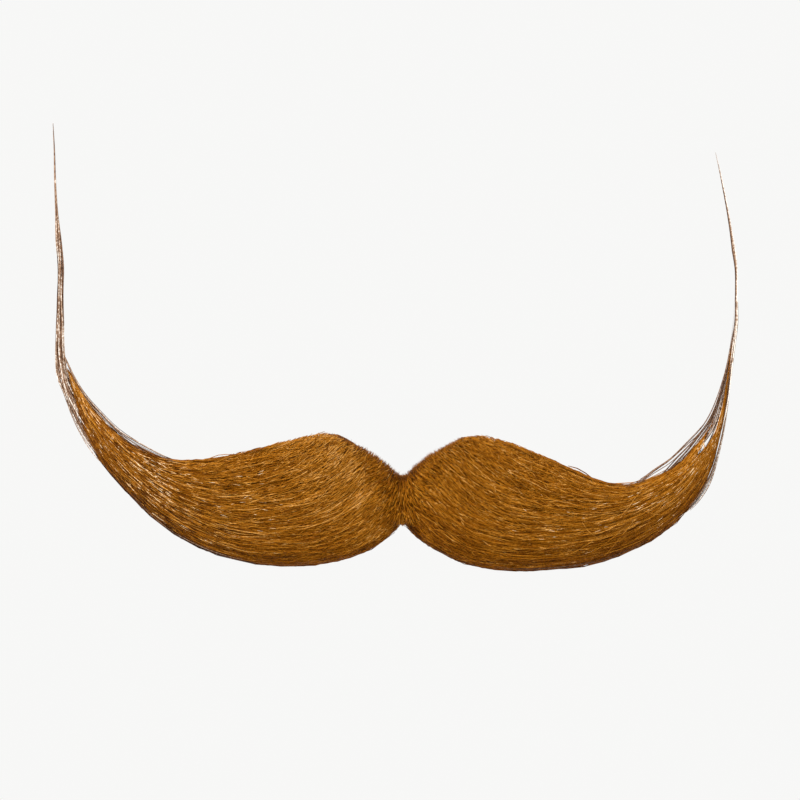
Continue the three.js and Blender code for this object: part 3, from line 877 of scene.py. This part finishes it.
def point_hair(wing):
    """The waxed point: long fibres in a thin bundle that opens here and there."""
    rng = np.random.default_rng({"left": 31, "right": 43}[wing])
    point = POINTS[wing]
    count, steps = point["count"], 34
    along = np.linspace(0, 1, steps)[None, :]
    stations, shares = zip(*POINT_THINNING)
    rank = (np.arange(count) + 0.5) / count
    ends = np.interp(-rank, [-share for share in shares], stations)
    # Two hairs make the tip.
    ends[:2] = LAST_STATION
    starts = rng.uniform(*point["starts"], count)
    station = starts[:, None] + (ends - starts)[:, None] * along
    lane = np.sort(rng.uniform(-1, 1, count))[rng.permutation(count)][:, None]
    low, high = point["across"]
    body_lane = low + (lane + 1) / 2 * (high - low)
    middle = np.interp(station, *zip(*point["middle"]))
    tightness = np.interp(station, *zip(*point["tightness"]))
    wander = 0.3 * np.sin(rng.uniform(0.6, 1.4, (count, 1)) * station + rng.uniform(0, 6.3, (count, 1)))
    point_lane = middle + 0.45 * np.clip(lane + wander, -1.1, 1.1) * tightness
    settled = smoothstep(station, *point["settling"])
    across = body_lane + (point_lane - body_lane) * settled
    forward = 0.5 + rng.uniform(-0.4, 0.4, (count, 1)) * (1 - 0.4 * settled)
    paths = hair_place(TABLES[wing], station, across, forward)
    widths = WAXED_WIDTH * rng.uniform(0.8, 1.25, (count, 1)) * taper(along, tip_from=0.85)
    # The wide spread of tones reaches near-white strands, painted glints among the waxed hair.
    tones = np.clip(rng.normal(0.47, 0.28, (count, 1)) - 0.2 * smoothstep(station, 16, 18.5), 0, 1)
    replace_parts(strands(f"{wing}_point_hair", paths, widths, tones, "waxed hair"), f"{wing}_wing")


def under_layer(wing):
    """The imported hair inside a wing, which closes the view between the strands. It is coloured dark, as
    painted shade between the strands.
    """
    table = TABLES[wing]
    rings, sides = 44, 28
    start, end = 0.35, PACKED_ENDS[wing]
    front_cover, back_cover, thinnest = 0.14, 0.08, 0.05
    station = np.linspace(start, end, rings)[:, None] * np.ones((1, sides))
    turn = (np.arange(sides)[None, :] + 0.5) * 2 * math.pi / sides * np.ones((rings, 1))
    across = 0.5 - 0.485 * np.cos(turn)
    front = front_face(across) - front_cover
    back = back_face(table, station, across) + back_cover
    thinning = 1 - 0.7 * smoothstep(station, end - PACKED_THINNING, end)
    forward = (front + back) / 2 + np.maximum(thinnest, (front - back) / 2) * thinning * np.sin(turn)
    paths = hair_place(table, station, in_wing(wing, across, station), forward)
    piece = loft(f"{wing}_wing_under_layer", paths, "under")
    set_values(piece.data, "tone", np.full(rings * sides, 0.4))
    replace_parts(piece, f"{wing}_wing")


def parting_front(x, z):
    """How far in front of the hair's back the outer hair lies, in and beside the parting."""
    outward = np.minimum(np.abs(x), 9)
    below_roots = 0.62 + 0.38 * smoothstep(root_line(x) - z, -0.5, 5)
    return (6.2 + 0.28 * outward) * below_roots * (1 - 0.5 * smoothstep(-z - 0.75 * outward, 3, 9))


def parting_place(x, z, share, lift=0.0):
    """Points of the hair in the parting, at a share of its depth there and lifted off by so much."""
    forward = share * parting_front(x, z) + lift
    return np.stack([x, fall_back(x) - HAIR_BACK - forward, z], -1)


def parting_hair():
    """Short hair that fans out downwards from the top of the parting over the roots of both wings."""
    rng = np.random.default_rng(5)
    count, steps = 3600, 4
    along = np.linspace(0, 1, steps)[None, :]
    root_x = rng.uniform(-1, 1, (count, 1)) * PARTING_REACH
    drop = rng.uniform(0, 1, (count, 1)) ** 1.1 * PARTING_DROP
    root_z = root_line(root_x) - drop
    slant = PARTING_LEAN * np.tanh(root_x / 3.2) + rng.normal(0, 0.2, (count, 1))
    length = rng.uniform(*PARTING_LENGTHS, (count, 1))
    room = np.maximum(0.3, root_z - notch_line(root_x) + rng.uniform(-0.3, 0.4, (count, 1)))
    length = np.minimum(length, room / np.maximum(0.3, np.cos(slant)))
    turned = slant * (1 + 0.15 * along)
    x = root_x + length * along * np.sin(turned)
    z = root_z - length * along * np.cos(turned)
    depth = rng.uniform(0, 1, (count, 1)) ** 0.6
    share = 0.35 + 0.65 * depth * (0.75 + 0.25 * smoothstep(along, 0, 0.35))
    share = share - 0.5 * smoothstep(np.abs(x), 6, 9.5) * (1 - np.sin(math.pi * along) ** 0.5)
    paths = parting_place(x, z, share, 0.15 * np.sin(math.pi * along) - 0.1)
    paths += SHORT_SWAY * slow_waves(rng, count, along)
    widths = SHORT_WIDTH * rng.uniform(0.75, 1.25, (count, 1)) * taper(along)
    # Painted shadow: hair near the top middle of the parting is darker, as in the shadow under a nose, and
    # hair that lies deeper is darker, painted shade.
    shade = -0.36 * np.exp(-(root_line(x) - z) / 2.2) * np.exp(-((x / 6) ** 2))
    tones = np.clip(rng.normal(0.48, 0.15, (count, 1)) + shade - 0.15 * (1 - depth), 0, PALEST)
    kept = (z[:, -1] > notch_line(x[:, -1]) - 0.4) & (root_z[:, 0] > notch_line(root_x[:, 0]) + 0.6)
    hair = strands("parting_hair", paths[kept], widths[kept], tones[kept])
    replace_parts(hair, "centre_tuft")


def parting_under_layer():
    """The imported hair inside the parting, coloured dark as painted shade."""
    rings, sides = 16, 16
    row = np.linspace(1.1, 4.6, rings)[:, None] * np.ones((1, sides))
    up, half, stand = np.moveaxis(smooth_rows(TUFT_ROWS, row), -1, 0)
    turn = (np.arange(sides)[None, :] + 0.5) * 2 * math.pi / sides
    x = 1.05 * half * TUFT_WIDTH * np.cos(turn)
    forward = stand * TUFT_DEPTH * (0.42 + 0.4 * np.sin(turn))
    rows = np.stack([x, fall_back(x) - HAIR_BACK - forward, up * TUFT_HEIGHT], -1)
    piece = loft("parting_under_layer", rows, "under")
    set_values(piece.data, "tone", np.full(rings * sides, 0.3))
    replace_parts(piece, "centre_tuft")


def root_bristles():
    """Short stiff ends that stand up along the root line, against the lie of the hair."""
    rng = np.random.default_rng(9)
    count, steps = 2400, 4
    along = np.linspace(0, 1, steps)[None, :]
    root_x = rng.uniform(-1, 1, (count, 1)) * BRISTLE_REACH
    slant = BRISTLE_LEAN * np.tanh(root_x / 4) + rng.normal(0, 0.3, (count, 1))
    length = rng.uniform(*BRISTLE_LENGTHS, (count, 1)) * (1 - 0.3 * smoothstep(np.abs(root_x), 8, 13))
    x = root_x + length * along * np.sin(slant)
    z = root_line(root_x) - rng.uniform(*BRISTLE_DROPS, (count, 1)) + length * along * np.cos(slant)
    share = rng.uniform(0.1, 1.0, (count, 1)) * (1 - 0.12 * along)
    paths = parting_place(x, z, share)
    paths += SHORT_SWAY * slow_waves(rng, count, along)
    widths = SHORT_WIDTH * rng.uniform(0.7, 1.2, (count, 1)) * taper(along, root=1.0, tip_from=0.3)
    # Painted shadow: bristles in the middle are darker, as under a nose.
    middle_shade = -0.14 * np.exp(-((root_x / 6) ** 2))
    tones = np.clip(rng.normal(0.36, 0.14, (count, 1)) - 0.1 * along + middle_shade, 0, PALEST)
    strands("root_bristles", paths, widths, tones)


# Waxed hairs that have left the body, in loose bundles: the wing, how many, their tone, how far they
# spread across the wing, and the stations and places across that they pass.
LOOSE_BUNDLES = [
    ("right", 7, 0.35, 0.035, [(6.6, 0.05), (7.7, -0.03), (8.5, -0.12), (9.3, -0.12), (10.2, -0.09),
                               (11.0, -0.01), (11.6, 0.08), (12.1, 0.13), (12.7, 0.18), (13.2, 0.22),
                               (14.3, 0.4), (16.0, 0.55)]),
    ("right", 9, 0.35, 0.045, [(8.6, 0.08), (9.4, 0.02), (10.2, 0.04), (10.9, 0.07), (11.6, 0.16),
                               (12.2, 0.22), (13.0, 0.3), (14.3, 0.5), (15.5, 0.7)]),
    ("right", 8, 0.45, 0.05, [(9.6, 0.22), (10.4, 0.2), (11.2, 0.3), (12.0, 0.38), (13.0, 0.42),
                              (14.2, 0.6)]),
    ("right", 9, 0.4, 0.04, [(9.4, 0.93), (10.2, 0.97), (10.8, 0.98), (11.3, 0.99), (12.0, 0.98),
                             (12.6, 0.97), (13.4, 0.97), (14.2, 0.95), (15.5, 1.1)]),
    # Dark hairs along the lower edge: painted shade on the underside.
    ("right", 14, 0.08, 0.013, [(3.8, 0.94), (5.5, 0.95), (7.0, 0.96), (8.5, 0.97), (9.8, 0.965)]),
    ("left", 8, 0.35, 0.035, [(6.4, 0.04), (7.0, 0.0), (7.7, -0.02), (8.4, -0.01), (9.3, 0.05), (10.3, 0.12),
                              (11.0, 0.15), (11.8, 0.1), (12.6, 0.12), (13.6, 0.3)]),
    ("left", 7, 0.28, 0.03, [(9.7, 0.22), (10.7, 0.22), (11.4, 0.15), (12.0, 0.1), (12.6, 0.12),
                             (13.2, 0.26), (14.2, 0.55)]),
    ("left", 30, 0.62, 0.11, [(9.8, 0.84), (10.6, 0.88), (11.3, 0.84), (12.0, 0.74), (12.8, 0.66),
                              (13.6, 0.62), (14.6, 0.58)]),
    # Dark hairs along the lower edge: painted shade on the underside.
    ("left", 8, 0.1, 0.012, [(4.5, 0.93), (5.5, 0.945), (7.0, 0.947), (8.5, 0.945), (9.6, 0.94)]),
    ("left", 2, 0.4, 0.1, [(12.2, 1.0), (12.8, 1.08), (13.3, 1.1), (13.9, 0.95)]),
]


def loose_bundles():
    """Waxed hairs beside the body, from its edges into the points."""
    rng = np.random.default_rng(17)
    steps = 26
    along = np.linspace(0, 1, steps)[None, :]
    every, tones = [], []
    for wing, count, tone, spread, places in LOOSE_BUNDLES:
        places = np.array(places)
        last = len(places) - 1
        starts, ends = rng.uniform(0, 0.12, (count, 1)), rng.uniform(0.85, 1, (count, 1))
        passed = smooth_rows(places, last * (starts + (ends - starts) * along))
        lane = np.linspace(-1.5, 1.5, count)[:, None] * spread + 0.2 * spread * rng.normal(0, 1, (count, 1))
        wander = 0.5 * spread * np.sin(rng.uniform(0.5, 1.3, (count, 1)) * passed[..., 0] + 6 * lane)
        across = passed[..., 1] + (lane + wander) * np.sin(math.pi * (0.1 + 0.9 * along)) ** 0.5
        forward = WIDEST + rng.uniform(-0.1, 0.3, (count, 1)) * np.ones((1, steps))
        station = np.minimum(passed[..., 0], LAST_STATION)
        every.append(hair_place(TABLES[wing], station, across, forward))
        tones.append(np.clip(rng.normal(tone, 0.2, (count, 1)) + 0 * along, 0, 1))
    paths = np.concatenate(every)
    widths = WAXED_WIDTH * rng.uniform(0.75, 1.2, (len(paths), 1)) * taper(along)
    strands("loose_bundles", paths, widths, np.concatenate(tones), "waxed hair")


def backing_edges(x):
    """Top and bottom of the cloth at x."""
    out = np.abs(np.asarray(x, float)) / (BACKING_WIDTH / 2)
    outs = [row[0] for row in BACKING_OUTLINE]
    place = np.interp(out, outs, np.arange(len(outs)))
    rows = smooth_rows(BACKING_OUTLINE, place)
    return rows[..., 1] * BACKING_HEIGHT, rows[..., 2] * BACKING_HEIGHT


# Width of the turned edge, and how far it stands off the rest of the cloth.
HEM = 1.4
HEM_RISE = 0.16


def cloth_backing():
    """The curved cloth strip, with its edges turned in and sewn down, and the knots of the hair."""
    slices, rise_steps, corner_steps = 121, 20, 5
    half_wall = BACKING_WALL / 2
    edge_round = 0.6 * half_wall
    x = np.linspace(-1, 1, slices) * BACKING_WIDTH / 2
    top, bottom = backing_edges(x)
    up = np.concatenate([np.linspace(-1, 1, rise_steps), np.linspace(1, -1, rise_steps)])
    face = np.concatenate([-np.ones(rise_steps), np.ones(rise_steps)])
    rounding = np.linspace(0, math.pi, corner_steps + 2)[1:-1]
    up = np.insert(up, rise_steps, 1 + 0 * rounding)
    face = np.insert(face, rise_steps, -np.cos(rounding))
    up = np.concatenate([up, -1 + 0 * rounding])
    face = np.concatenate([face, np.cos(rounding)])
    middle, half = ((top + bottom) / 2)[:, None], ((top - bottom) / 2 - edge_round)[:, None]
    bulge = np.where(np.abs(up) == 1, np.sqrt(np.maximum(0, 1 - face**2)), 0) * edge_round
    z = middle + half * up[None, :] + bulge * np.sign(up)
    end = (BACKING_WIDTH / 2 - np.abs(x))[:, None]
    inside = np.minimum(np.minimum(half * (1 - np.abs(up)), end), 4)
    wall = half_wall - HEM_RISE * smoothstep(inside, HEM, HEM + 0.5)
    y = fall_back(x)[:, None] - half_wall + face * wall
    rings = np.stack([x[:, None] + 0 * z, y, z], -1)
    cloth = loft("cloth_backing", rings, "cloth")
    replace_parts(cloth, "backing")
    stitches = hem_stitches()
    knots = hair_knots()


def cloth_back(x, z, out):
    """A point this far behind the back of the cloth."""
    return np.stack([x, fall_back(x) + out, z], -1)


def hem_stitches():
    """A running stitch that holds the turned edge, seen on the back."""
    pitch, length, width = 2.3, 1.5, 0.36
    end_inset, inset = 0.6 * HEM, 0.65 * HEM
    line_x = np.linspace(-1, 1, 400) * (BACKING_WIDTH / 2 - end_inset)
    top, bottom = backing_edges(line_x)
    upper = np.stack([line_x, top - inset], -1)
    lower = np.stack([line_x, bottom + inset], -1)[::-1]
    line = np.vstack([upper, lower, upper[:1]])
    run = np.concatenate([[0], np.cumsum(np.linalg.norm(np.diff(line, axis=0), axis=1))])
    count = int(run[-1] / pitch)
    steps = 7
    along = np.linspace(0, 1, steps)[None, :]
    place = (np.arange(count) * run[-1] / count)[:, None] + along * length
    x, z = np.interp(place, run, line[:, 0]), np.interp(place, run, line[:, 1])
    paths = cloth_back(x, z, 0.3 * np.sin(math.pi * along) ** 0.5 - 0.14)
    widths = np.full((count, steps), width)
    return strands("hem_stitches", paths, widths, np.full((count, steps), 0.5), "thread", "backing_cloth")


def hair_knots():
    """Rows of knots where the hair is tied through the cloth, seen on the back."""
    rng = np.random.default_rng(29)
    row_pitch, knot_pitch, margin = 2.0, 1.5, HEM + 1.0
    knot_length, knot_width = 0.9, 0.32
    spots = []
    for n, z in enumerate(np.arange(-BACKING_HEIGHT / 2, BACKING_HEIGHT / 2, row_pitch)):
        for x in np.arange(-BACKING_WIDTH / 2 + 3, BACKING_WIDTH / 2 - 3, knot_pitch):
            x = x + knot_pitch / 2 * (n % 2)
            top, bottom = backing_edges(x)
            if bottom + margin < z < top - margin:
                spots.append((x, z))
    spots = np.array(spots) + rng.normal(0, 0.12, (len(spots), 2))
    count, steps = len(spots), 7
    along = np.linspace(0, 1, steps)[None, :]
    tilt = rng.normal(0.5, 0.25, (count, 1)) * np.sign(spots[:, :1] + 0.01)
    reach = knot_length * (along - 0.5)
    x = spots[:, :1] + reach * np.cos(tilt)
    z = spots[:, 1:] - reach * np.sin(tilt)
    paths = cloth_back(x, z, 0.5 * np.sin(math.pi * along) ** 0.6 - HEM_RISE - 0.1)
    widths = knot_width * rng.uniform(0.8, 1.2, (count, 1)) * np.ones((1, steps))
    tones = np.clip(rng.normal(0.4, 0.12, (count, 1)) + 0 * along, 0, 1)
    return strands("hair_knots", paths, widths, tones)


# Camera. The picture takes in this width at the plane that the scale was measured in.
PICTURE_WIDTH = 800
MM_PER_PIXEL = 0.255
ORIGIN_PIXEL = (402, 497)
CAMERA_DISTANCE = 2000
SCALE_PLANE_Y = 10
FLOOR_Z = -1250


def add_camera():
    """A camera far in front, level with the moustache, with the picture's framing."""
    data = bpy.data.cameras.new("camera")
    data.sensor_width = 36
    view_width = PICTURE_WIDTH * MM_PER_PIXEL
    data.lens = data.sensor_width * (CAMERA_DISTANCE + SCALE_PLANE_Y) / view_width
    data.clip_end = 100
    camera = bpy.data.objects.new("camera", data)
    bpy.context.scene.collection.objects.link(camera)
    x = (PICTURE_WIDTH / 2 - ORIGIN_PIXEL[0]) * MM_PER_PIXEL
    z = (ORIGIN_PIXEL[1] - PICTURE_WIDTH / 2) * MM_PER_PIXEL
    camera.location = Vector((x, -CAMERA_DISTANCE, z)) * MM
    camera.rotation_euler = (math.pi / 2, 0, 0)
    bpy.context.scene.camera = camera


def add_soft_box(name, place, size, power):
    """A square soft box that faces the moustache. place and size are in millimetres."""
    data = bpy.data.lights.new(name, "AREA")
    data.shape = "SQUARE"
    data.size = size * MM
    data.energy = power
    light = bpy.data.objects.new(name, data)
    bpy.context.scene.collection.objects.link(light)
    light.location = Vector(place) * MM
    light.rotation_euler = (-light.location).to_track_quat("-Z", "Y").to_euler()


def add_studio():
    """A pale floor, soft boxes and an even pale surround."""
    settings = {"Roughness": 0.9, "Base Color": srgb("#f6f6f4")}
    material, _, _ = new_material("pale matt floor", settings)
    radius, corners = 6000, 64
    turns = [2 * math.pi * n / corners for n in range(corners)]
    mesh = bpy.data.meshes.new("floor")
    rim = [(radius * math.cos(t) * MM, radius * math.sin(t) * MM, FLOOR_Z * MM) for t in turns]
    mesh.from_pydata(rim, [], [list(range(corners))])
    mesh.materials.append(material)
    floor = bpy.data.objects.new("floor", mesh)
    bpy.context.scene.collection.objects.link(floor)

    world = bpy.data.worlds.new("studio")
    bpy.context.scene.world = world
    world.use_nodes = True
    background = world.node_tree.nodes["Background"]
    background.inputs["Color"].default_value = srgb("#fdfdfc")
    background.inputs["Strength"].default_value = 0.95
    add_soft_box("key soft box", (-430, -1000, 1450), 600, 41)
    add_soft_box("front soft box", (-50, -1700, 300), 600, 13)


for wing_name in WINGS:
    under_layer(wing_name)
    wing_hair(wing_name)
    point_hair(wing_name)
parting_under_layer()
parting_hair()
root_bristles()
loose_bundles()
cloth_backing()
add_studio()
add_camera()
bpy.context.scene.view_settings.view_transform = "Standard"
